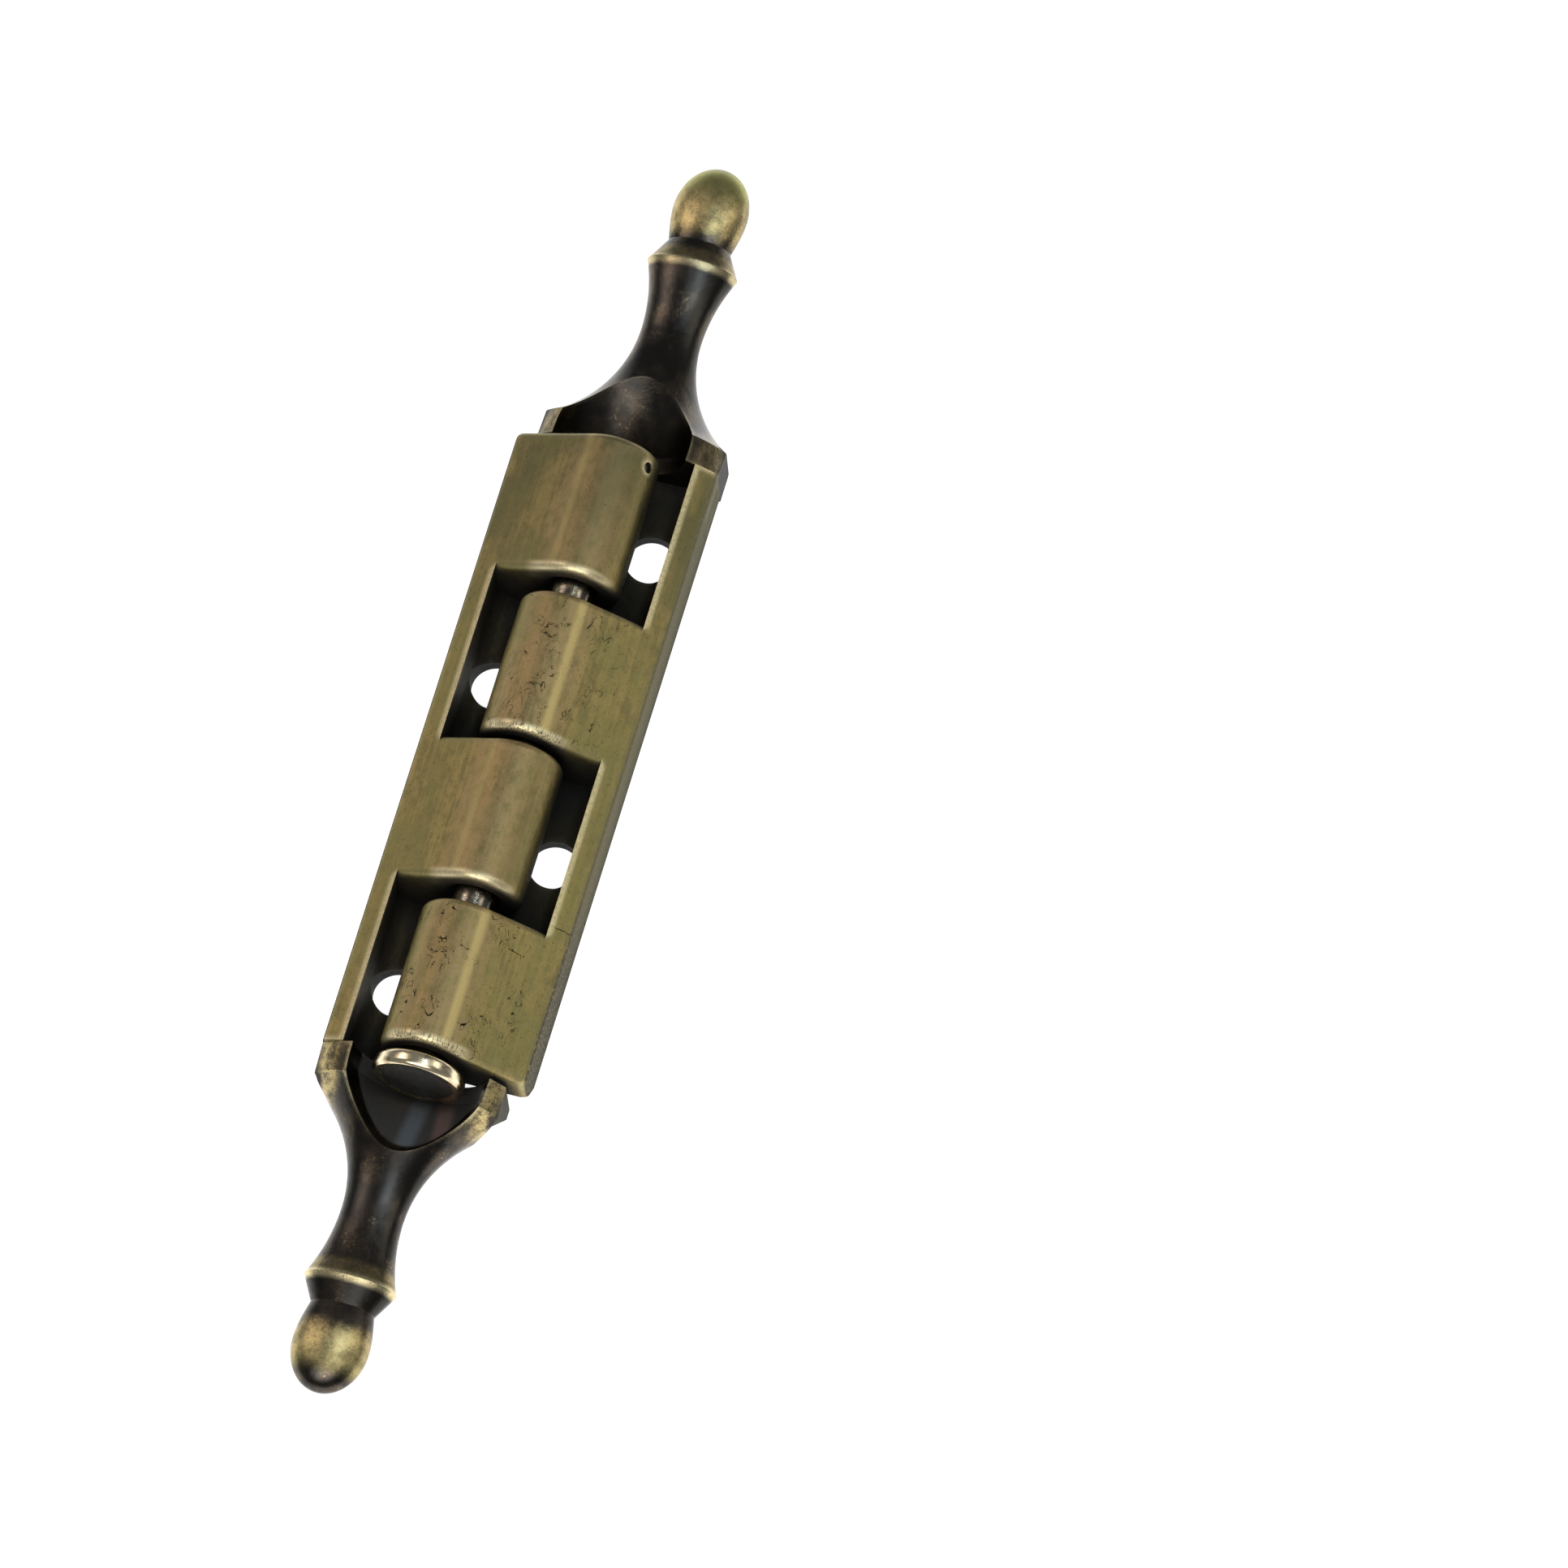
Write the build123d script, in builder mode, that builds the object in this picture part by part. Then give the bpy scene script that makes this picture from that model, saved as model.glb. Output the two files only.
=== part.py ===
from build123d import *
from math import cos, radians, sin
import os

# A decorative surface hinge for a flush door. It lies on its back: the two leaves' flat backs
# are the XY plane, the pin runs along Y, and +Z is the front. The right leaf carries the top
# finial and the left leaf the bottom one, so each half is the other turned 180 degrees about Z,
# but for the bottom shoulder, whose sides draw in at the back.
# Every shape of a half is given at (x, y) of the right half, and side = -1 makes the left one.

# Driving dimensions, in millimetres and degrees
overall_length = 120.0
leaf_length = 60.0
hinge_width = 18.0
axis_height = 6.0  # pin axis above the mounting face
barrel_radius = 4.05
slant = 28.0  # fall of each leaf's front face, from the barrel to the outer edge
rail_width = 1.94
floor_thickness = 1.2  # what is left under a pocket
pocket_corner = 1.8  # radius between the pocket's floor and its wall
leaf_gap = 0.3
middle_gap = 0.8  # between the two middle knuckles
pin_gap = 1.9  # between an outer knuckle and its neighbour, where the pin shows
end_gap = 0.4  # between a leaf's free end and the other leaf's finial
knuckle_edge = 0.7  # rounding of the knuckles' ends
rail_edge = 0.7  # rounding along the outer edge of the front
nearly = 0.2  # slack when edges are picked by their place
back_edge = 0.8  # chamfer along the outer edge of the back
free_end_relief = 2.6  # chamfer under the free end

screw_hole_diameter = 4.4
screw_spacing = 30.0
screw_offset = 4.85  # from the pin axis
screw_start = -7.5  # the leaf's first hole along the pin

pin_diameter = 4.0
pin_clearance = 0.03
pin_recess = 0.3  # the pin's end below the top knuckle's face
head_diameter = 8.2
head_thickness = 1.6
head_standoff = 0.8  # bare shank between the last knuckle and the head
head_back_rounding = 0.35
head_face_rounding = 0.84
lock_diameter = 0.94
lock_clearance = 0.03
lock_inset = 1.6  # from the top knuckle's end
lock_angle = 58.0  # from the front, towards the right leaf
lock_depth = 1.2  # into the pin
lock_recess = 0.35  # below the barrel's surface

far_reach = 7.4  # finial's shoulder past the pin axis, on the other leaf's side
shoulder_length = 2.6
near_rounding = 0.4  # of the shoulder's corner beside its own leaf's rail
far_rounding = 1.3  # of its other corner
underside_draw = 1.9  # how much shorter the shoulder's sides are at the back
underside_reach = 7.6  # the underside's radius past the shoulder
underside_place = 4.6
turning_height = 2.3  # the finial's own axis above the mounting face
flattening = 0.62  # the finial's thickness as a share of its width
waist_radius = 2.78
waist_place = 13.3  # all places along the finial are from its root
sweep_radius = 13.3  # of the cove that joins the shoulder to the waist, in plan
turned_sweep_radius = 12.3  # the same cove, as turned
turned_sweep_angle = 60.0
plan_margin = 0.3  # what the plan outline leaves round the waist
flare_radius = 16.3
collar_radius = 4.13
collar_place = 19.9
collar_land = 0.4
neck_radius = 2.85
neck_place = 22.2
ball_radius = 3.39
ball_place = 25.6
oval = 0.56  # how full the ball's end is: 0.55 is half an ellipse
scoop_radius = 6.2  # trough in the shoulder that clears the pin's head
scoop_lift = 1.75  # its axis above the pin axis
scoop_tilt = 27.0
scoop_straight = 1.6

dowel_diameter = 1.2
dowel_clearance = 0.03
dowel_in_leaf = 4.0
dowel_in_finial = 1.9
dowel_inset = 1.0  # from the outer edge
dowel_bevel = 0.15
dowel_heights = (1.9, 4.3)

# Worked out from them
half_width = hinge_width / 2
leaf_end = leaf_length / 2
free_end = leaf_end - end_gap
pocket_reach = half_width - rail_width
knuckle_length = (free_end - middle_gap / 2 - pin_gap) / 2
knuckles = (
    (middle_gap / 2, middle_gap / 2 + knuckle_length),
    (-free_end, -free_end + knuckle_length),
)
pockets = (
    (knuckles[0][1], leaf_end),
    (knuckles[1][1], knuckles[0][0]),
)
tangent_x = barrel_radius * sin(radians(slant))
tangent_z = axis_height + barrel_radius * cos(radians(slant))


def front_height(x):
    """Height of the slanted front face at a distance x from the pin axis."""
    return axis_height + (barrel_radius - x * sin(radians(slant))) / cos(radians(slant))


edge_height = front_height(half_width)
bore_radius = pin_diameter / 2 + pin_clearance
above_all = axis_height + 2 * barrel_radius
turning_x = (half_width - far_reach) / 2
shoulder_half = (half_width + far_reach) / 2
back_draw = (shoulder_half**2 + edge_height**2) ** 0.5 - shoulder_half
whole_draw = 2 * back_draw  # the drawing cone's excess at the shoulder's leaf end
tip_place = overall_length / 2 - leaf_end
neck_to_ball = ball_place - neck_place
swell = ball_radius - neck_radius
lock_y = free_end - lock_inset
lock_axis = Vector(sin(radians(lock_angle)), 0, cos(radians(lock_angle)))
pin_axis_point = Vector(0, 0, axis_height)

os.makedirs("parts", exist_ok=True)


def across(side, y):
    """Plane across the hinge at y, looking along the half towards its free end."""
    return Plane(origin=(0, side * y, 0), x_dir=(side, 0, 0), z_dir=(0, -side, 0))


def flat(side, z):
    """Plane parallel to the mounting face, turned with the half."""
    return Plane(origin=(0, 0, z), x_dir=(side, 0, 0), z_dir=(0, 0, 1))


def lock_plane(depth):
    """Plane across the lock pin's hole, at a depth from the pin axis."""
    origin = pin_axis_point + Vector(0, lock_y, 0) + lock_axis * depth
    return Plane(origin=origin, z_dir=lock_axis)


def on_front(edge, side, ends):
    """True for a knuckle's end edge that runs across the leaf on its front or its barrel."""
    box = edge.bounding_box()
    across_leaf = box.size.Y < nearly and box.size.X > rail_width
    at_end = any(abs(side * edge.center().Y - end) < nearly for end in ends)
    return across_leaf and at_end and box.max.Z > axis_height and edge.length > barrel_radius


def make_leaf(side, name):
    with BuildPart() as leaf:
        # slab between the back and the slanted front
        with BuildSketch(across(side, leaf_end)):
            with BuildLine():
                Polyline(
                    (leaf_gap / 2, 0),
                    (half_width - back_edge, 0),
                    (half_width, back_edge),
                    (half_width, edge_height),
                    (tangent_x, tangent_z),
                    (leaf_gap / 2, axis_height),
                    close=True,
                )
            section = make_face()
            fillet(section.vertices().sort_by_distance((half_width, edge_height))[0], rail_edge)
        extrude(amount=leaf_end + free_end)
        # pockets that the other leaf's knuckles turn in
        for start, end in pockets:
            with BuildSketch(across(side, end)):
                with BuildLine():
                    Polyline(
                        (0, floor_thickness),
                        (pocket_reach, floor_thickness),
                        (pocket_reach, above_all),
                        (0, above_all),
                        close=True,
                    )
                section = make_face()
                corner = (pocket_reach, floor_thickness)
                fillet(section.vertices().sort_by_distance(corner)[0], pocket_corner)
            extrude(amount=end - start, mode=Mode.SUBTRACT)
        # knuckles
        for start, end in knuckles:
            with BuildSketch(across(side, end)):
                with Locations((0, axis_height)):
                    Circle(barrel_radius)
            extrude(amount=end - start)
        # pin bore
        with BuildSketch(across(side, knuckles[0][1])):
            with Locations((0, axis_height)):
                Circle(bore_radius)
        extrude(amount=knuckles[0][1] + free_end, mode=Mode.SUBTRACT)
        # softened knuckle ends
        ends = [axis for pair in knuckles for axis in pair]
        rims = leaf.edges().filter_by(lambda edge: on_front(edge, side, ends))
        fillet(rims, knuckle_edge)
        # relief under the free end
        with BuildSketch(Plane.YZ.offset(-half_width)):
            with BuildLine():
                Polyline(
                    (-side * free_end, 0),
                    (-side * free_end, free_end_relief),
                    (-side * (free_end - free_end_relief), 0),
                    close=True,
                )
            make_face()
        extrude(amount=hinge_width, mode=Mode.SUBTRACT)
        # screw holes
        with BuildSketch(flat(side, 0)):
            for turn in range(2):
                with Locations((screw_offset, screw_start + turn * screw_spacing)):
                    Circle(screw_hole_diameter / 2)
        extrude(amount=axis_height / 2, mode=Mode.SUBTRACT)
        # dowel holes in the root end
        with BuildSketch(across(side, leaf_end)):
            for height in dowel_heights:
                with Locations((half_width - dowel_inset, height)):
                    Circle(dowel_diameter / 2 + dowel_clearance)
        extrude(amount=dowel_in_leaf, mode=Mode.SUBTRACT)
        if side < 0:
            with BuildSketch(lock_plane(0)):
                Circle(lock_diameter / 2 + lock_clearance)
            extrude(amount=2 * barrel_radius, mode=Mode.SUBTRACT)
    leaf.part.label = name
    export_step(leaf.part, f"parts/{name}.step")
    return leaf


# hollow that the finials' shoulders have for the pin's head: straight, then rising
scoop_turn = leaf_end + scoop_straight
with BuildPart() as scoop:
    with BuildSketch(across(1, scoop_turn)) as scoop_section:
        with Locations((0, axis_height + scoop_lift)):
            Circle(scoop_radius)
    extrude(amount=scoop_straight)
    rising = (0, cos(radians(scoop_tilt)), sin(radians(scoop_tilt)))
    extrude(scoop_section.sketch, amount=tip_place, dir=rising)


def at(radius, place):
    """Point of the finials' outline, from their turning axis and their root."""
    return (turning_x + radius, leaf_end + place)


def make_finial(side, name):
    rise = collar_place - collar_land / 2 - waist_place
    # oval form: cove, waist, flare, collar, neck and ball, turned and then flattened
    with BuildPart() as turned:
        with BuildSketch(flat(side, 0)):
            with BuildLine():
                sweep = CenterArc(
                    at(waist_radius + turned_sweep_radius, waist_place),
                    turned_sweep_radius,
                    180,
                    turned_sweep_angle,
                )
                Polyline(sweep @ 1, at((sweep @ 1).X, -shoulder_length), at(0, -shoulder_length))
                ThreePointArc(
                    at(waist_radius, waist_place),
                    at(waist_radius + rise**2 / 8 / flare_radius, waist_place + rise / 2),
                    at(waist_radius + rise**2 / 2 / flare_radius, waist_place + rise),
                )
                Polyline(
                    at(waist_radius + rise**2 / 2 / flare_radius, waist_place + rise),
                    at(collar_radius, collar_place),
                    at(neck_radius, neck_place),
                )
                Bezier(
                    at(neck_radius, neck_place),
                    at(neck_radius + swell / 2, neck_place + neck_to_ball / 3),
                    at(ball_radius, ball_place - neck_to_ball / 3),
                    at(ball_radius, ball_place),
                )
                Bezier(
                    at(ball_radius, ball_place),
                    at(ball_radius, ball_place + oval * (tip_place - ball_place)),
                    at(oval * ball_radius, tip_place),
                    at(0, tip_place),
                )
                Line(at(0, tip_place), at(0, -shoulder_length))
            make_face()
        revolve(axis=Axis((side * turning_x, 0, 0), (0, side, 0)))
    oval_form = scale(turned.part, by=(1, 1, flattening))
    with BuildPart() as finial:
        add(oval_form.moved(Location((0, 0, turning_height))))
        # in plan, the shoulder is as wide as both leaves and sweeps in to the waist
        with BuildSketch(flat(side, 0)):
            with BuildLine():
                inset = waist_radius + plan_margin + sweep_radius
                corner = at(shoulder_half, 0)[1] + waist_place
                corner -= (sweep_radius**2 - (inset - shoulder_half) ** 2) ** 0.5
                middle = (corner + leaf_end + waist_place) / 2
                reach = inset - (sweep_radius**2 - (leaf_end + waist_place - middle) ** 2) ** 0.5
                for way in (-1, 1):
                    ThreePointArc(
                        (turning_x + way * shoulder_half, corner),
                        (turning_x + way * reach, middle),
                        at(way * (waist_radius + plan_margin), waist_place),
                    )
                    Polyline(
                        at(way * (waist_radius + plan_margin), waist_place),
                        at(way * shoulder_half, waist_place),
                        at(way * shoulder_half, tip_place),
                        at(0, tip_place),
                    )
                Polyline(
                    (turning_x - shoulder_half, corner),
                    at(-shoulder_half, 0),
                    at(shoulder_half, 0),
                    (turning_x + shoulder_half, corner),
                )
            plan = make_face()
            for way, rounding in ((1, near_rounding), (-1, far_rounding)):
                point = (turning_x + way * shoulder_half, corner)
                fillet(plan.vertices().sort_by_distance(point)[0], rounding)
        extrude(amount=above_all, mode=Mode.INTERSECT)
        # the bottom shoulder's sides draw in towards the back
        if side < 0:
            with BuildSketch(flat(side, edge_height)):
                with BuildLine():
                    Polyline(
                        at(0, -shoulder_length),
                        at(shoulder_half + whole_draw, -shoulder_length),
                        at(shoulder_half + back_draw, corner - leaf_end - underside_draw),
                        at(shoulder_half, corner - leaf_end),
                        at(underside_reach, underside_place),
                        at(underside_reach, tip_place),
                        at(0, tip_place),
                        close=True,
                    )
                make_face()
            drawing_axis = Axis((side * turning_x, 0, edge_height), (0, side, 0))
            revolve(axis=drawing_axis, mode=Mode.INTERSECT)
        # the front follows the slant of both leaves
        with BuildSketch(across(side, leaf_end)):
            with BuildLine():
                Polyline(
                    (-half_width, 0),
                    (half_width, 0),
                    (half_width, edge_height),
                    (0, front_height(0)),
                    (-half_width, edge_height),
                    close=True,
                )
            make_face()
        extrude(amount=-tip_place, mode=Mode.INTERSECT)
        # trough for the pin's head
        add(scoop.part, rotation=(0, 0, 90 - 90 * side), mode=Mode.SUBTRACT)
        # dowel holes
        with BuildSketch(across(side, leaf_end)):
            for height in dowel_heights:
                with Locations((half_width - dowel_inset, height)):
                    Circle(dowel_diameter / 2 + dowel_clearance)
        extrude(amount=-dowel_in_finial, mode=Mode.SUBTRACT)
    finial.part.label = name
    export_step(finial.part, f"parts/{name}.step")
    return finial


make_leaf(1, "right_leaf")
make_leaf(-1, "left_leaf")
make_finial(1, "top_finial")
make_finial(-1, "bottom_finial")

# hinge pin: mushroom head, shank, and the lock pin's hole
with BuildPart() as hinge_pin:
    head_start = -free_end - head_standoff
    with BuildSketch(Plane.XY.offset(axis_height)):
        with BuildLine():
            Polyline(
                (0, free_end - pin_recess),
                (pin_diameter / 2, free_end - pin_recess),
                (pin_diameter / 2, head_start),
                (head_diameter / 2, head_start),
                (head_diameter / 2, head_start - head_thickness),
                (0, head_start - head_thickness),
                close=True,
            )
        outline = make_face()
        rim = outline.vertices().group_by(Axis.X)[-1]
        fillet(rim.sort_by(Axis.Y)[0], head_face_rounding)
        fillet(outline.vertices().group_by(Axis.X)[-1].sort_by(Axis.Y)[-1], head_back_rounding)
    revolve(axis=Axis(tuple(pin_axis_point), (0, 1, 0)))
    with BuildSketch(lock_plane(pin_diameter / 2 - lock_depth)):
        Circle(lock_diameter / 2 + lock_clearance)
    extrude(amount=pin_diameter, mode=Mode.SUBTRACT)
hinge_pin.part.label = "hinge_pin"
export_step(hinge_pin.part, "parts/hinge_pin.step")

# lock pin: driven into the top knuckle and the hinge pin
with BuildPart() as lock_pin:
    with BuildSketch(lock_plane(pin_diameter / 2 - lock_depth)):
        Circle(lock_diameter / 2)
    extrude(amount=barrel_radius - lock_recess - pin_diameter / 2 + lock_depth)
lock_pin.part.label = "lock_pin"
export_step(lock_pin.part, "parts/lock_pin.step")

# dowels that locate each finial on its leaf
for side, end_name in ((1, "top"), (-1, "bottom")):
    for height, place_name in zip(dowel_heights, ("back", "front")):
        dowel_name = f"{end_name}_finial_{place_name}_dowel"
        with BuildPart() as dowel:
            with BuildSketch(across(side, leaf_end + dowel_in_finial)):
                with Locations((half_width - dowel_inset, height)):
                    Circle(dowel_diameter / 2)
            extrude(amount=dowel_in_finial + dowel_in_leaf)
            chamfer(dowel.edges().filter_by(GeomType.CIRCLE), dowel_bevel)
        dowel.part.label = dowel_name
        export_step(dowel.part, f"parts/{dowel_name}.step")
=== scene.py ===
from math import cos, pi, radians, sin, tan

import bpy
import numpy as np
from mathutils import Matrix, Vector


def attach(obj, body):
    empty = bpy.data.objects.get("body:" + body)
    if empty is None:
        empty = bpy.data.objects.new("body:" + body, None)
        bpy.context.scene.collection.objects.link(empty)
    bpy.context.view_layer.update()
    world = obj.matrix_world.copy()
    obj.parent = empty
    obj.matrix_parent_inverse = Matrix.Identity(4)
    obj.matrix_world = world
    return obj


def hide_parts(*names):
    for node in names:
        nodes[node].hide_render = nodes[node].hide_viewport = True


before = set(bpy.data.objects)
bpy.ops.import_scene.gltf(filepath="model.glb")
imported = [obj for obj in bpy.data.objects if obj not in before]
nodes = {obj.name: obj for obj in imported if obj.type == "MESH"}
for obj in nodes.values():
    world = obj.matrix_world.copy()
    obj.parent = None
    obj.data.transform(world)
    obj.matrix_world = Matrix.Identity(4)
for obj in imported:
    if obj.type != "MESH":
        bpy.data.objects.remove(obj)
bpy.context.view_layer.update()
mm = 0.001
print("frame loaded:", len(nodes), "nodes")


class Wire:  # a shader socket that can stand in a sum
    def __init__(self, finish, socket):
        self.finish, self.socket = finish, socket

    def __add__(self, other):
        return self.finish.math("ADD", self, other)

    def __radd__(self, other):
        return self.finish.math("ADD", other, self)

    def __sub__(self, other):
        return self.finish.math("SUBTRACT", self, other)

    def __rsub__(self, other):
        return self.finish.math("SUBTRACT", other, self)

    def __mul__(self, other):
        return self.finish.math("MULTIPLY", self, other)

    def __rmul__(self, other):
        return self.finish.math("MULTIPLY", other, self)


class Finish:  # one material and the ways to add its nodes
    def __init__(self, name):
        self.material = bpy.data.materials.new(name)
        self.material.use_nodes = True
        self.tree = self.material.node_tree
        self.tree.nodes.clear()
        metres = self.node("ShaderNodeTexCoord", {}, {}, "Object")
        self.place = self.node("ShaderNodeVectorMath", {"operation": "SCALE"},
                               {0: metres, "Scale": 1 / mm})   # millimetres
        apart = self.node("ShaderNodeSeparateXYZ", {}, {"Vector": self.place}, None)
        self.x, self.y, self.z = (Wire(self, apart.outputs[axis]) for axis in "XYZ")

    def node(self, kind, settings, sockets, output=0):
        made = self.tree.nodes.new(kind)
        for key, value in settings.items():
            setattr(made, key, value)
        for key, value in sockets.items():
            if isinstance(value, Wire):
                self.tree.links.new(value.socket, made.inputs[key])
            else:
                made.inputs[key].default_value = value
        return made if output is None else Wire(self, made.outputs[output])

    def math(self, operation, *terms):
        return self.node("ShaderNodeMath", {"operation": operation}, dict(enumerate(terms)))

    def largest(self, first, second):
        return self.math("MAXIMUM", first, second)

    def noise(self, pattern, shift=0.0):   # pattern: stretch, detail, roughness, seed, distortion
        stretch, detail, roughness, seed, distortion = pattern
        seed = seed + shift
        spot = self.node("ShaderNodeVectorMath", {"operation": "MULTIPLY_ADD"},
                         {0: self.place, 1: stretch, 2: (seed, seed * 1.7, seed * 2.3)})
        return self.node("ShaderNodeTexNoise", {}, {
            "Vector": spot, "Scale": 1.0, "Detail": detail,
            "Roughness": roughness, "Distortion": distortion}, "Fac")

    def step(self, value, span):   # 0 below the span, 1 above it, smooth between
        return self.node("ShaderNodeMapRange", {"interpolation_type": "SMOOTHSTEP"}, {
            "Value": value, "From Min": span[0], "From Max": span[1]})

    def band(self, value, centre, half, soft):   # 1 near centre, 0 away from it
        away = self.math("ABSOLUTE", value - centre)
        return 1 - self.step(away, (half, half + soft))

    def blend(self, mask, first, second):
        return self.node("ShaderNodeMix", {"data_type": "RGBA"}, {0: mask, 6: first, 7: second}, 2)

    def hollow(self, reach, inside=False):   # 1 in the open, towards 0 in a corner
        return self.node("ShaderNodeAmbientOcclusion",
                         {"samples": 6, "inside": inside, "only_local": inside},
                         {"Distance": reach * mm}, "AO")

    def metal(self, colour, roughness, height, depth, metallic=1.0):   # depth of the bumps in mm
        bump = self.node("ShaderNodeBump", {}, {"Height": height, "Distance": depth * mm})
        skin = self.node("ShaderNodeBsdfPrincipled", {}, {
            "Base Color": colour, "Roughness": roughness, "Metallic": metallic, "Normal": bump})
        self.node("ShaderNodeOutputMaterial", {}, {"Surface": skin}, None)
        return self.material


def dress(thing, material):
    thing.data.materials.clear()
    thing.data.materials.append(material)


# Leaves: brushed antique brass. Side 1 is the right leaf and -1 the left one, lengths are in mm,
# and a span is where a pattern or a distance goes from nothing to all.
leafLook = {
    "gold": (0.42, 0.318, 0.122, 1),
    "olive": (0.225, 0.190, 0.080, 1),
    "rust": (0.46, 0.315, 0.165, 1),
    "green": (0.29, 0.260, 0.098, 1),
    "darkGreen": (0.10, 0.098, 0.052, 1),
    "crestGoldAndHighlight": (0.66, 0.52, 0.22, 1),
    "worn": (0.88, 0.76, 0.46, 1),
    "dirtAndShade": (0.008, 0.0075, 0.007, 1),
    # the side wall: painted shade, gold specks and an olive end
    "wallShade": (0.040, 0.036, 0.022, 1),
    "wallSpeck": (0.30, 0.24, 0.11, 1),
    "wallOlive": (0.12, 0.105, 0.045, 1),
    # patterns: stretch in x, y and z, detail, roughness, seed, distortion
    "brushPattern": ((2.6, 0.07, 2.6), 5.0, 0.62, 0.0, 0.0),
    "hairPattern": ((15.0, 0.5, 15.0), 3.0, 0.6, 3.1, 0.0),
    "patinaPattern": ((0.20, 0.12, 0.20), 3.0, 0.5, 7.0, 0.0),
    "blotPattern": ((1.1, 0.7, 1.1), 5.0, 0.68, 17.0, 0.0),
    "grainPattern": ((5.6, 3.6, 5.6), 5.0, 0.75, 11.0, 0.0),
    "pitPattern": ((1.9, 1.5, 1.9), 5.0, 0.75, 23.0, 0.0),
    "curlPattern": ((0.75, 0.55, 0.75), 2.5, 0.55, 31.0, 1.1),
    "curlPatches": ((0.5, 0.4, 0.5), 1.0, 0.5, 41.0, 0.0),
    "crackPattern": ((1.5, 0.2, 1.5), 3.0, 0.6, 51.0, 0.0),
    "speckPattern": ((3.0, 3.0, 3.0), 4.0, 0.8, 61.0, 0.0),
    "toothPattern": ((7.0, 0.6, 7.0), 2.0, 0.6, 71.0, 0.0),
    # patina
    "goldSpan": (0.30, 0.66),
    "goldBrushing": 0.8,   # how far the brush marks streak the gold
    "hairSpan": (0.35, 0.7),
    "hairAmount": 0.25,
    "greenSpan": (0.40, 0.60),
    "greenAmount": 0.6,
    "rustBand": (0.2, 2.3, 1.6),   # across the barrel: middle, half width, softness
    "rustSpan": (0.36, 0.62),
    "rustBlots": 0.6,
    "rustAmount": 0.75,
    "mottleSpan": (0.54, 0.72),
    "mottleAmount": 0.70,
    "darkSlope": 0.6,   # the painted shade at the top end is cut off at this slant
    "darkSpan": (12.0, 30.0),
    "darkPatches": (0.35, 0.6),
    "darkAmount": (0.25, 0.35),   # painted shade everywhere, and patina patches on top of that
    # pits and curly scratches
    "pitSpan": (0.65, 0.70),
    "pitAmount": 0.7,
    "curlBand": (0.5, 0.005, 0.008),
    "curlSpan": (0.50, 0.58),
    "innerSpan": (6.4, 7.4),   # from the knuckles' plates to the rail
    "upperKnuckle": (7.2, 6.6, 1.0),   # along the right leaf's knuckles: middle, half length, softness
    "lowerKnuckle": (-22.8, 6.6, 1.0),
    "upperMarks": 0.75,
    "lowerMarks": 0.9,
    "strayMarks": 0.08,
    "sideMarks": {-1: 0.12, 1: 1},
    # hairline across the right rail
    "crackBand": (-15.2, 0.02, 0.05),
    "crackWobble": 0.6,
    "railSpan": (7.1, 7.3),
    "crackAmount": 0.85,
    # worn edges, and the crest between barrel and slope and each knuckle's lower rim, which are worn and
    # also carry a painted highlight
    "edgeReach": 0.6,
    "edgeSpan": (0.05, 0.42),
    "edgePatches": (0.3, 0.7),
    "edgeEven": 0.40,
    "edgeAmount": 0.85,
    "frontSpan": (6.0, 7.5),
    "crestBand": (1.95, 0.10, 0.50),
    "crestAmount": {-1: 0.30, 1: 0.85},
    "crestGrain": (0.7, 0.6),   # evenly, and by the grain
    "rims": {-1: (16.1, -13.9), 1: (0.6, -29.4)},
    "rimBand": (0.30, 0.60),
    "rimAcross": (0.3, 2.6, 1.8),
    "toothSpan": (0.52, 0.60),
    "toothAmount": {-1: 0.15, 1: 0.75},
    # side wall
    "wallSpan": (8.72, 8.96),
    "wallAmount": 0.9,
    "speckSpan": (0.52, 0.62),
    "oliveSpan": (-20.0, -9.0),
    "oliveAmount": 0.75,
    # the pockets are darkened: grime and painted shade
    "pocketReach": 6.0,
    "pocketSpan": (0.42, 0.82),
    # gloss and relief
    "roughness": 0.50,
    "roughHair": 0.14,
    "roughBlots": 0.18,
    "roughEdges": 0.12,
    "roughPockets": 0.3,
    "roughWall": 0.35,
    "pocketMetal": 0.5,
    "wallMetal": 0.6,
    "relief": {"brush": 0.4, "hair": 0.3, "grain": 0.9, "blots": 0.5, "marks": 1.5},
    "reliefDepth": 0.021,
}


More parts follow.
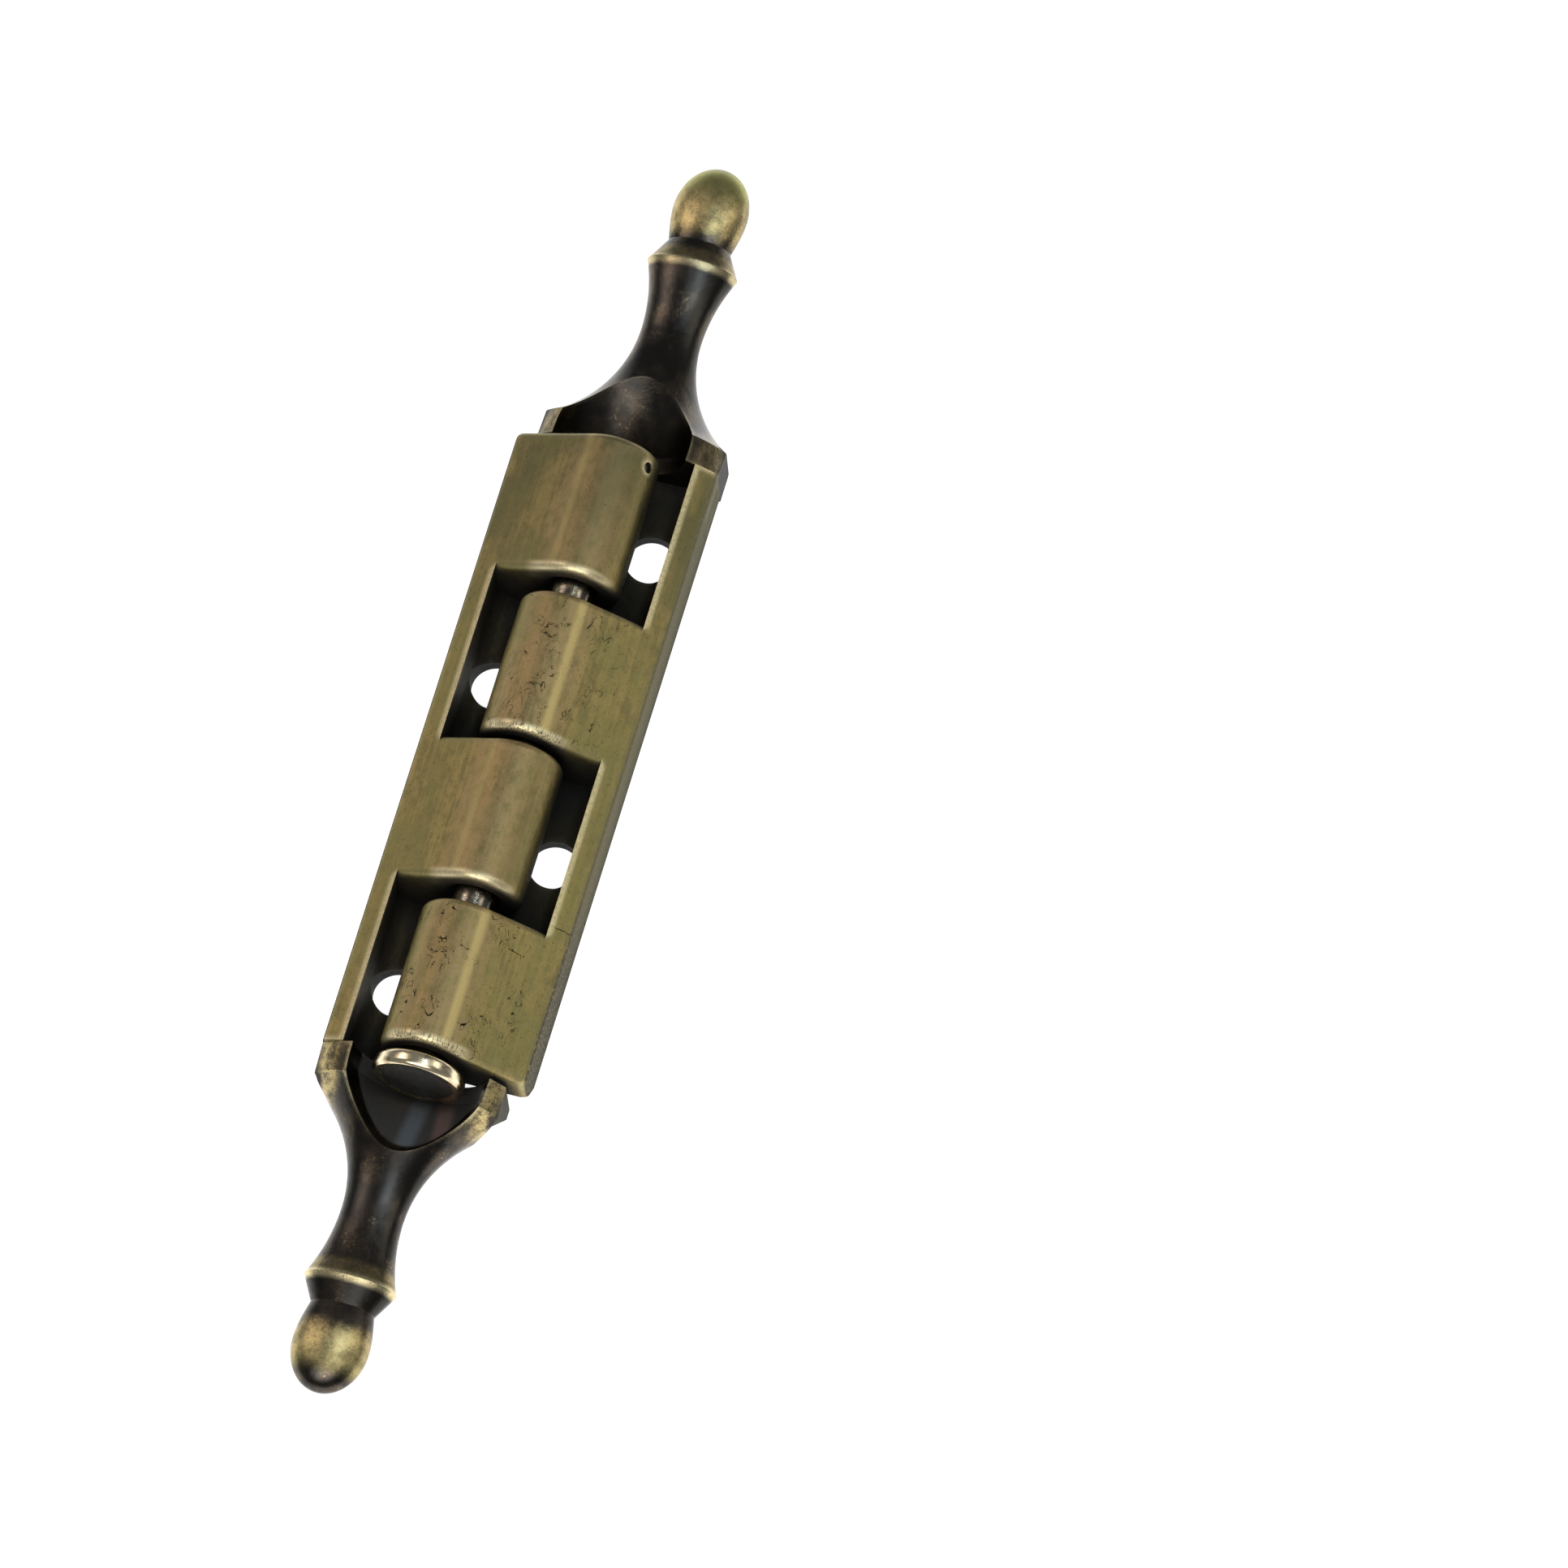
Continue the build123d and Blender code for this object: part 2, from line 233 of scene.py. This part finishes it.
def leafFinish(name, look, side):
    f = Finish(name)
    brush = f.noise(look["brushPattern"], side)
    hair = f.noise(look["hairPattern"], side)
    patina = f.noise(look["patinaPattern"], side)
    blots = f.noise(look["blotPattern"], side)
    grain = f.noise(look["grainPattern"], side)

    golden = f.step(blots + (brush - 0.5) * look["goldBrushing"], look["goldSpan"])
    base = f.blend(golden, look["olive"], look["gold"])
    base = f.blend(f.step(hair, look["hairSpan"]) * look["hairAmount"], base, look["gold"])
    base = f.blend(f.step(patina, look["greenSpan"]) * look["greenAmount"], base, look["green"])
    middle, half, soft = look["rustBand"]
    rusty = f.step(grain + (blots - 0.5) * look["rustBlots"], look["rustSpan"]) * look["rustAmount"]
    base = f.blend(f.band(f.x, middle * side, half, soft) * rusty, base, look["rust"])
    base = f.blend(f.step(grain, look["mottleSpan"]) * look["mottleAmount"], base, look["dirtAndShade"])
    everywhere, patches = look["darkAmount"]
    # the top end is darkened with painted shade everywhere, and with dark green patina in patches
    topShadeAndPatina = f.step(f.y + f.x * look["darkSlope"] * side, look["darkSpan"])
    topShadeAndPatina = topShadeAndPatina * (everywhere + f.step(patina, look["darkPatches"]) * patches)
    base = f.blend(topShadeAndPatina, base, look["darkGreen"])

    # pits and curly scratches, most of them on the right leaf's lower knuckle
    pits = f.step(f.noise(look["pitPattern"], side), look["pitSpan"]) * look["pitAmount"]
    curls = f.band(f.noise(look["curlPattern"], side), *look["curlBand"])
    curls = curls * f.step(f.noise(look["curlPatches"]), look["curlSpan"])
    inner = 1 - f.step(f.x * side, look["innerSpan"])
    onKnuckles = (f.band(f.y, *look["lowerKnuckle"]) * look["lowerMarks"]
                  + f.band(f.y, *look["upperKnuckle"]) * look["upperMarks"])
    where = look["strayMarks"] + inner * onKnuckles * look["sideMarks"][side]
    marks = f.largest(pits, curls) * where
    base = f.blend(marks, base, look["dirtAndShade"])
    if side > 0:   # a hairline crosses the rail, beside the lower knuckle's top
        wobble = (f.noise(look["crackPattern"]) - 0.5) * look["crackWobble"]
        crack = f.band(f.y + wobble, *look["crackBand"]) * f.step(f.x, look["railSpan"])
        base = f.blend(crack * look["crackAmount"], base, look["dirtAndShade"])

    # the crest is bright gold, worn and with a painted highlight; edges are rubbed pale, and each knuckle's
    # lower rim is pale from wear and a painted highlight, with fine teeth on it
    onFront = f.step(f.z, look["frontSpan"])
    middle, half, soft = look["crestBand"]
    crest = onFront * f.band(f.x, middle * side, half, soft) * inner * look["crestAmount"][side]
    even, byGrain = look["crestGrain"]
    base = f.blend(crest * (even + grain * byGrain), base, look["crestGoldAndHighlight"])
    middle, half, soft = look["rimAcross"]
    rim = sum(f.band(f.y, low, *look["rimBand"]) for low in look["rims"][side])
    rim = rim * onFront * f.band(f.x, middle * side, half, soft)
    edge = f.step(1 - f.hollow(look["edgeReach"], True), look["edgeSpan"])
    edge = edge * (look["edgeEven"] + f.step(grain, look["edgePatches"]) * (1 - look["edgeEven"]))
    # edges are real wear; the lower rim bands are wear with a painted highlight, in the same pale colour
    edge = f.largest(edge, rim)
    base = f.blend(edge * look["edgeAmount"], base, look["worn"])
    teeth = f.step(f.noise(look["toothPattern"]), look["toothSpan"]) * rim
    base = f.blend(teeth * look["toothAmount"][side], base, look["dirtAndShade"])

    # the side wall is darkened with painted shade, and speckled towards the lower end
    wall = f.step(f.math("ABSOLUTE", f.x), look["wallSpan"])
    speckled = f.step(f.noise(look["speckPattern"]), look["speckSpan"])
    wallColour = f.blend(speckled, look["wallShade"], look["wallSpeck"])
    oliveEnd = f.step(f.y, look["oliveSpan"]) * look["oliveAmount"]
    wallColour = f.blend(oliveEnd, wallColour, look["wallOlive"])
    base = f.blend(wall * look["wallAmount"], base, wallColour)
    # recesses darken towards black: grime with painted shade
    openness = f.step(f.hollow(look["pocketReach"]), look["pocketSpan"])
    base = f.blend(1 - openness, base, look["dirtAndShade"])

    rough = look["roughness"] + (hair - 0.5) * look["roughHair"] + (blots - 0.5) * look["roughBlots"]
    rough = rough - edge * look["roughEdges"] + (1 - openness) * look["roughPockets"]
    rough = rough + wall * look["roughWall"]
    relief = look["relief"]
    height = brush * relief["brush"] + hair * relief["hair"] + grain * relief["grain"]
    height = height + blots * relief["blots"] - marks * relief["marks"]
    metallic = look["pocketMetal"] + openness * (1 - look["pocketMetal"]) - wall * look["wallMetal"]
    return f.metal(base, rough, height, look["reliefDepth"], metallic)


dress(nodes["left_leaf"], leafFinish("antiqueBrassLeft", leafLook, -1))
dress(nodes["right_leaf"], leafFinish("antiqueBrassRight", leafLook, 1))
print("leaves dressed")

# Finials: dark bronze, gold where hands rub it. End 1 is the top finial and -1 the bottom one,
# and distances along are from the middle of the hinge.
finialLook = {
    "bronze": (0.042, 0.040, 0.036, 1),
    "umber": (0.105, 0.085, 0.066, 1),
    "shade": (0.018, 0.018, 0.019, 1),
    "gold": (0.70, 0.55, 0.25, 1),
    "deepGold": (0.27, 0.215, 0.100, 1),
    "green": (0.34, 0.36, 0.125, 1),
    "worn": (0.74, 0.63, 0.36, 1),
    "trough": (0.060, 0.060, 0.058, 1),
    # painted reflections in the bottom finial's trough
    "troughBlueReflection": (0.13, 0.155, 0.18, 1),
    "troughPinkReflection": (0.19, 0.13, 0.115, 1),
    # patterns: stretch in x, y and z, detail, roughness, seed, distortion
    "grainPattern": ((5.2, 5.2, 5.2), 5.0, 0.75, 5.0, 0.0),
    "blotPattern": ((1.0, 0.8, 1.0), 4.0, 0.65, 15.0, 0.0),
    "patinaPattern": ((0.42, 0.26, 0.42), 3.0, 0.55, 9.0, 0.0),
    # patina
    "umberSpan": (0.40, 0.66),
    "umberAmount": 0.7,
    "fleckSpan": (0.58, 0.70),
    "fleckBlots": 0.5,
    "fleckPatches": (0.44, 0.58),
    "fleckAmount": 0.32,
    "mottleMix": 0.45,   # share of grain in the mottling, the rest is blots
    "mottleSpan": (0.36, 0.60),
    # gold on the ball: along, as middle, half length and softness, and then the same across
    "ballAlong": {1: (56.3, 2.4, 1.7), -1: (56.2, 1.0, 1.7)},
    "ballAcross": {1: (0.7, 2.2, 2.2), -1: (-0.7, 2.2, 2.2)},
    "ballBlots": 0.8,
    "ballAmount": 0.95,
    "greenSpan": (55.5, 58.6),
    "greenAmount": {1: 0.8, -1: 0.25},
    # gold on the collar's ridge and in a halo beside it
    "collarBand": {1: (49.65, 0.08, 0.55), -1: (50.0, 0.08, 0.55)},
    "collarAmount": {1: 0.68, -1: 0.95},
    "collarEven": 0.75,
    "haloBand": {1: (50.5, 0.25, 0.9), -1: (49.1, 0.25, 0.9)},
    "haloAmount": 0.30,
    # gold on the shoulder, outside the trough
    "shoulderBand": (31.4, 1.6, 3.2),
    "shoulderMiddle": 0.8,   # the shoulder stands this far off the pin's axis
    "outsideSpan": (5.4, 7.0),
    "shoulderAmount": {1: 0.30, -1: 0.9},
    "shoulderEven": 0.25,
    # worn edges
    "edgeReach": 0.5,
    "edgeSpan": (0.14, 0.55),
    "edgePatches": (0.36, 0.6),
    "edgeEven": 0.30,
    "edgeAmount": {1: 0.25, -1: 0.75},
    # the low side walls, darkened with painted shade, and the bottom finial's trough, with painted
    # reflections
    "lowSpan": (4.5, 5.5),
    "sideSpan": (7.2, 7.7),
    "sideAmount": 0.9,
    "rimBend": 0.19,   # the trough's rim curves back by this much times the distance across squared
    "rimSpan": (37.0, 37.5),
    "troughDepth": (4.5, 5.0),
    "troughAmount": 0.95,
    # the trough's painted reflections: middle, half width and softness across, for the blue one and then the
    # pink one
    "blueReflectionBand": (0.3, 0.3, 0.9),
    "pinkReflectionBand": (2.7, 0.3, 0.8),
    "pinkSlant": 0.15,
    "pinkPivot": 33,
    # grime in the corners
    "cornerReach": 2.5,
    "cornerSpan": (0.25, 0.6),
    # gloss and relief
    "roughness": 0.15,
    "roughGold": 0.21,
    "roughWorn": 0.12,
    "roughGrain": 0.14,
    "roughSide": 0.5,
    "roughTrough": 0.25,
    "sideMetal": 0.7,
    "troughMetal": 0.6,
    "relief": {"grain": 0.8, "blots": 0.8},
    "reliefDepth": 0.026,
}


def finialFinish(name, look, end):
    f = Finish(name)
    along = f.y * end
    across = f.math("ABSOLUTE", f.x - look["shoulderMiddle"] * end)
    grain = f.noise(look["grainPattern"], end)
    blots = f.noise(look["blotPattern"], end)
    patina = f.noise(look["patinaPattern"], end)
    mottle = f.step(grain * look["mottleMix"] + blots * (1 - look["mottleMix"]), look["mottleSpan"])

    base = f.blend(f.step(patina, look["umberSpan"]) * look["umberAmount"], look["bronze"], look["umber"])
    flecks = f.step(grain + (blots - 0.5) * look["fleckBlots"], look["fleckSpan"])
    flecks = flecks * f.step(patina, look["fleckPatches"]) * look["fleckAmount"]
    base = f.blend(flecks, base, look["gold"])

    wander = (blots - 0.5) * look["ballBlots"]
    onBall = f.band(along + wander, *look["ballAlong"][end]) * f.band(f.x + wander, *look["ballAcross"][end])
    onShoulder = f.band(along, *look["shoulderBand"]) * f.step(across, look["outsideSpan"])
    onShoulder = onShoulder * look["shoulderAmount"][end]
    onShoulder = onShoulder * (look["shoulderEven"] + mottle * (1 - look["shoulderEven"]))
    goldness = f.largest(onBall * look["ballAmount"], onShoulder)
    goldness = f.largest(goldness, f.band(along, *look["haloBand"][end]) * look["haloAmount"])
    gold = f.blend(mottle, look["deepGold"], look["gold"])
    gold = f.blend(f.step(along, look["greenSpan"]) * look["greenAmount"][end], gold, look["green"])
    base = f.blend(goldness, base, gold)

    ridge = f.band(along, *look["collarBand"][end]) * look["collarAmount"][end]
    ridge = ridge * (look["collarEven"] + mottle * (1 - look["collarEven"]))
    edge = f.step(1 - f.hollow(look["edgeReach"], True), look["edgeSpan"]) * look["edgeAmount"][end]
    patches = f.step(grain * 0.5 + blots * 0.5, look["edgePatches"])
    edge = edge * (look["edgeEven"] + patches * (1 - look["edgeEven"]))
    bright = f.largest(ridge, edge)
    base = f.blend(bright, base, look["worn"])

    # the low side walls are darkened with painted shade, and made rougher and less metallic
    lowSide = (1 - f.step(f.z, look["lowSpan"])) * f.step(across, look["sideSpan"])
    base = f.blend(lowSide * look["sideAmount"], base, look["shade"])
    rough = look["roughness"] + goldness * look["roughGold"] + bright * look["roughWorn"]
    rough = rough + (grain - 0.5) * look["roughGrain"] + lowSide * look["roughSide"]
    metallic = 1 - lowSide * look["sideMetal"]
    if end < 0:   # the trough round the pin's head is dark and smooth, with a blue and a pink reflection painted into its colour
        rimLine = along + f.x * f.x * look["rimBend"]
        trough = (1 - f.step(rimLine, look["rimSpan"])) * (1 - f.step(f.z, look["troughDepth"]))
        troughAndReflections = f.blend(f.band(f.x, *look["blueReflectionBand"]), look["trough"], look["troughBlueReflection"])
        slanted = f.x + (f.y + look["pinkPivot"]) * look["pinkSlant"]
        troughAndReflections = f.blend(f.band(slanted, *look["pinkReflectionBand"]), troughAndReflections, look["troughPinkReflection"])
        base = f.blend(trough * look["troughAmount"], base, troughAndReflections)
        rough = rough + trough * look["roughTrough"]
        metallic = metallic - trough * look["troughMetal"]
    openness = f.step(f.hollow(look["cornerReach"]), look["cornerSpan"])
    base = f.blend(1 - openness, base, look["bronze"])
    height = grain * look["relief"]["grain"] + blots * look["relief"]["blots"]
    return f.metal(base, rough, height, look["reliefDepth"], metallic)


dress(nodes["top_finial"], finialFinish("darkBronzeTop", finialLook, 1))
dress(nodes["bottom_finial"], finialFinish("darkBronzeBottom", finialLook, -1))
print("finials dressed")


def turned(name, profile, centre, direction, around, creaseAngle):
    # a profile of (distance along, radius) carried round an axis: at each distance and each angle
    # the point is centre + distance x axis + radius x (cosine x one side + sine x the other side)
    axis = np.array(Vector(direction).normalized())
    one = np.array(Vector(direction).orthogonal().normalized())
    other = np.cross(axis, one)
    along, radius = np.array(profile, float).T
    angle = np.arange(around) * (2 * pi / around)
    ring = np.cos(angle)[:, None] * one + np.sin(angle)[:, None] * other
    centre = np.array(centre, float)
    walls = centre + along[1:-1, None, None] * axis + radius[1:-1, None, None] * ring
    points = np.vstack([walls.reshape(-1, 3), centre + along[0] * axis, centre + along[-1] * axis]) * mm
    rings = len(along) - 2
    row, column = np.meshgrid(np.arange(rings - 1), np.arange(around), indexing="ij")
    after = (column + 1) % around
    quads = np.stack([row * around + column, row * around + after,
                      (row + 1) * around + after, (row + 1) * around + column], -1).reshape(-1, 4)
    here = np.arange(around)
    onward = (here + 1) % around
    first, last = rings * around, rings * around + 1   # the two poles
    top = (rings - 1) * around
    caps = np.vstack([np.stack([onward, here, np.full(around, first)], -1),
                      np.stack([here + top, onward + top, np.full(around, last)], -1)])
    mesh = bpy.data.meshes.new(name)
    mesh.from_pydata(points.tolist(), [], quads.tolist() + caps.tolist())
    mesh.shade_smooth()
    mesh.set_sharp_from_angle(angle=radians(creaseAngle))
    thing = bpy.data.objects.new(name, mesh)
    bpy.context.scene.collection.objects.link(thing)
    return thing


def roundOff(along, radius, size, start, turn, count=9):
    # part of a circle: its centre plus its size x (cosine, sine) of an angle that turns from start
    angle = np.radians(start + np.linspace(0, turn, count))
    return np.stack([along + size * np.cos(angle), radius + size * np.sin(angle)], -1)


# Hinge pin: lengths in mm along the pin, from the middle of the hinge towards the head
pinLook = {
    "shaft": 2.0,
    "farEnd": -29.3,
    "endBevel": 0.2,
    "shaftSpan": (-28.5, 29.5),
    "shaftRings": 40,
    "neckFillet": ((0.25, 0.0), (0.08, 0.08), (0.0, 0.28)),   # short of the head, above the shaft
    "headRadius": 4.1,
    "headBack": 30.4,
    "headFront": 32.0,
    "rim": 0.62,
    "rimSink": 0.55,   # share of the rim's rounding that stands in the head's side
    "rimTurn": 60,
    "dome": 0.22,
    "domeRings": 12,
    "pinHeight": 6.0,
    "around": 96,
    "creaseAngle": 50,
    "bright": (0.80, 0.68, 0.46, 1),
    "tarnish": (0.22, 0.145, 0.07, 1),
    # painted dark reflection, for the head's end face and patches of the shaft
    "paintedDarkReflection": (0.085, 0.085, 0.085, 1),
    # patterns: stretch in x, y and z, detail, roughness, seed, distortion
    "scuffPattern": ((2.4, 9.0, 2.4), 5.0, 0.7, 2.0, 0.0),
    "patinaPattern": ((0.8, 0.8, 0.8), 3.0, 0.6, 4.0, 0.0),
    "tarnishSpan": (0.5, 0.75),
    "tarnishAmount": 0.6,
    "cornerReach": 1.2,
    "cornerSpan": (0.05, 0.5),
    "faceSpan": (3.1, 3.4),
    "facePlace": (31.5, 31.7),
    "faceAmount": 0.96,
    "shaftStart": (-29.0, -28.0),
    "shaftPatches": (0.30, 0.55),
    "shaftAmount": 0.8,
    "roughness": 0.13,
    "scuffSpan": (0.4, 0.7),
    "roughScuffs": 0.14,
    "roughFace": 0.3,
    "reliefDepth": 0.012,
}


def pinFinish(name, look):
    f = Finish(name)
    scuffs = f.noise(look["scuffPattern"])
    patina = f.noise(look["patinaPattern"])
    tarnish = f.step(patina, look["tarnishSpan"]) * look["tarnishAmount"]
    base = f.blend(tarnish, look["bright"], look["tarnish"])
    openness = f.step(f.hollow(look["cornerReach"]), look["cornerSpan"])
    base = f.blend(1 - openness, base, look["tarnish"])
    rise = f.z - look["pinHeight"]
    fromAxis = f.math("SQRT", f.x * f.x + rise * rise)
    # the head's end face and patches of the shaft get a painted dark reflection
    face = (1 - f.step(fromAxis, look["faceSpan"])) * f.step(0 - f.y, look["facePlace"])
    base = f.blend(face * look["faceAmount"], base, look["paintedDarkReflection"])
    shaft = f.step(f.y, look["shaftStart"]) * f.step(patina, look["shaftPatches"])
    base = f.blend(shaft * look["shaftAmount"], base, look["paintedDarkReflection"])
    rough = look["roughness"] + f.step(scuffs, look["scuffSpan"]) * look["roughScuffs"]
    return f.metal(base, rough + face * look["roughFace"], scuffs, look["reliefDepth"])


def hingePin(look):
    shaft, head, rim = look["shaft"], look["headRadius"], look["rim"]
    end, back, front = look["farEnd"], look["headBack"], look["headFront"]
    across = np.linspace(head - rim, 0, look["domeRings"])
    dome = np.stack([front - look["dome"] * (across / (head - rim)) ** 2, across], -1)
    profile = np.vstack([
        [(end, 0.0), (end, shaft - look["endBevel"]), (end + look["endBevel"], shaft)],
        [(place, shaft) for place in np.linspace(*look["shaftSpan"], look["shaftRings"])],
        [(back - short, shaft + above) for short, above in look["neckFillet"]],
        roundOff(back + rim, head - rim, rim, 180, -90),
        roundOff(front - look["dome"] - rim * look["rimSink"], head - rim, rim, 90, -look["rimTurn"]),
        dome[1:],
    ])
    centre = (0, 0, look["pinHeight"])
    pin = turned("hingePin", profile, centre, (0, -1, 0), look["around"], look["creaseAngle"])
    dress(pin, pinFinish("polishedBrass", look))
    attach(pin, "left_half")
    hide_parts("hinge_pin")


hingePin(pinLook)
print("hinge pin turned")

steelLook = {
    "tint": (0.16, 0.14, 0.12, 1),
    "stain": (0.05, 0.045, 0.04, 1),
    "scuffPattern": ((7.0, 7.0, 7.0), 4.0, 0.65, 1.0, 0.0),
    "stainSpan": (0.4, 0.65),
    "stainAmount": 0.6,
    "roughness": 0.45,
    "roughScuffs": 0.2,
    "reliefDepth": 0.01,
}


def steelFinish(name, look):
    f = Finish(name)
    scuffs = f.noise(look["scuffPattern"])
    base = f.blend(f.step(scuffs, look["stainSpan"]) * look["stainAmount"], look["tint"], look["stain"])
    rough = look["roughness"] + (scuffs - 0.5) * look["roughScuffs"]
    return f.metal(base, rough, scuffs, look["reliefDepth"])


darkSteel = steelFinish("darkSteel", steelLook)
for nodeName, node in nodes.items():
    if "dowel" in nodeName or "lock" in nodeName:
        dress(node, darkSteel)
print("steel pins dressed")

studio = {
    "floorSize": 4.0,   # metres
    "floorColour": (0.86, 0.86, 0.86, 1),
    "floorRoughness": 0.9,
    "floorGlow": 0.92,
    "worldColour": (0.19, 0.195, 0.20, 1),
    # each light: degrees towards +X and towards -Y, distance, width and length in m, watts, colour
    "lights": {
        "frontSoft": (12, 20, 1.35, 0.55, 0.55, 1.60, (0.98, 0.98, 1.0)),
        "frontSpot": (15, -8, 0.80, 0.09, 0.20, 0.90, (0.74, 0.87, 1.0)),
        "rightBox": (44, -26, 0.85, 0.20, 0.30, 0.50, (1.0, 0.96, 0.84)),
        "leftBox": (-42, -16, 0.85, 0.22, 0.34, 0.90, (1.0, 0.86, 0.80)),
        "lowFront": (0, 42, 0.80, 0.50, 0.20, 2.1, (1.0, 0.98, 0.94)),
    },
}


def towards(across, down):   # unit vector tipped from +Z by that many degrees towards +X and -Y
    return Vector((tan(radians(across)), -tan(radians(down)), 1.0)).normalized()


def facing(back, up):   # turns an object so that its own -Z looks against back, with up upwards
    right = up.cross(back).normalized()
    return Matrix((right, back.cross(right), back)).transposed().to_euler()


def buildFloor(look):
    half = look["floorSize"] / 2
    mesh = bpy.data.meshes.new("floor")
    corners = [(-half, -half, 0), (half, -half, 0), (half, half, 0), (-half, half, 0)]
    mesh.from_pydata(corners, [], [(0, 1, 2, 3)])
    floor = bpy.data.objects.new("floor", mesh)
    bpy.context.scene.collection.objects.link(floor)
    paper = bpy.data.materials.new("palePaper")
    paper.use_nodes = True
    skin = paper.node_tree.nodes["Principled BSDF"]
    skin.inputs["Base Color"].default_value = look["floorColour"]
    skin.inputs["Roughness"].default_value = look["floorRoughness"]
    skin.inputs["Emission Color"].default_value = (1, 1, 1, 1)
    skin.inputs["Emission Strength"].default_value = look["floorGlow"]
    dress(floor, paper)


def buildLights(look):
    world = bpy.context.scene.world or bpy.data.worlds.new("room")
    bpy.context.scene.world = world
    world.use_nodes = True
    world.node_tree.nodes["Background"].inputs["Color"].default_value = look["worldColour"]
    world.node_tree.nodes["Background"].inputs["Strength"].default_value = 1.0
    for name, (across, down, distance, width, length, watts, colour) in look["lights"].items():
        lamp = bpy.data.lights.new(name, "AREA")
        lamp.shape, lamp.size, lamp.size_y = "RECTANGLE", width, length
        lamp.energy, lamp.color = watts, colour
        thing = bpy.data.objects.new(name, lamp)
        thing.location = towards(across, down) * distance
        thing.rotation_euler = facing(towards(across, down), Vector((0, 1, 0)))
        bpy.context.scene.collection.objects.link(thing)


buildFloor(studio)
buildLights(studio)

view = {
    "side": 10.33,       # degrees the eye stands to the right of straight above
    "tip": 21.8,         # degrees it stands towards the lower end
    "turn": 17.65,       # degrees the hinge leans clockwise in the frame
    "distance": 1217.0,  # mm from the middle of the hinge's back to the eye
    "aimRight": 22.4493,  # mm from there to the middle of the frame
    "aimDown": 0.2537,
    "sensor": 36,
    "lens": 321.832,
    "clip": (0.05, 20),  # metres
}


def placeCamera(look):
    side, tip, turn = (radians(look[key]) for key in ("side", "tip", "turn"))
    back = Vector((sin(side) * cos(tip), -sin(tip), cos(side) * cos(tip)))
    right = Vector((0, 1, 0)).cross(back).normalized()
    up = back.cross(right)
    leanRight = right * cos(turn) + up * sin(turn)
    leanUp = up * cos(turn) - right * sin(turn)
    eye = back * look["distance"]
    target = leanRight * look["aimRight"] - leanUp * look["aimDown"]
    camera = bpy.data.cameras.new("camera")
    camera.sensor_width, camera.lens = look["sensor"], look["lens"]
    camera.clip_start, camera.clip_end = look["clip"]
    thing = bpy.data.objects.new("camera", camera)
    thing.location = eye * mm
    thing.rotation_euler = facing((eye - target).normalized(), leanUp)
    bpy.context.scene.collection.objects.link(thing)
    bpy.context.scene.camera = thing


placeCamera(view)
bpy.context.scene.view_settings.view_transform = "Standard"
print("studio ready")
